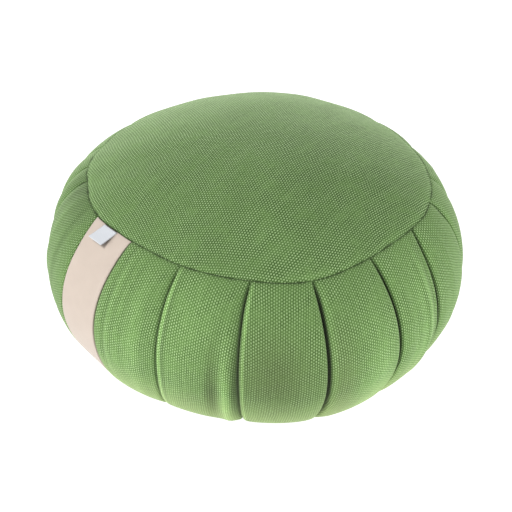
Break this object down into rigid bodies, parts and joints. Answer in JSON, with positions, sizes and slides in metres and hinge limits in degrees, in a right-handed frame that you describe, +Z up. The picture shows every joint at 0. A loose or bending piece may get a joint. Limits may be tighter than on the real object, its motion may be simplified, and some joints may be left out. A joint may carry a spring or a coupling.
{
  "type": "round pleated floor cushion",
  "caption": "Round zafu meditation cushion with a crowned top, a pleated side band, one plain cotton panel and a small bare label tab.",
  "frame": {"origin": "centre of the footprint, on the surface the cushion rests on", "axes": "+Z up through the crown, -Y towards the side with the deepest pleats, the plain cotton panel at the front left (-X, -Y)"},
  "size_m": [0.3647, 0.3663, 0.1846],
  "materials": {
    "green_canvas_side": "coarse plain-weave cotton canvas, leaf green, matt",
    "green_canvas_top": "coarse plain-weave cotton canvas, leaf green, matt",
    "green_canvas_base": "coarse plain-weave cotton canvas, leaf green, matt",
    "natural_cotton": "smooth undyed cotton twill, matt",
    "white_ribbon": "folded white satin ribbon, bare"
  },
  "bodies": {
    "root": {"side_band": "green_canvas_side", "top_panel": "green_canvas_top", "bottom_panel": "green_canvas_base", "contrast_strip": "natural_cotton", "label_tab": "white_ribbon"}
  },
  "joints": []
}
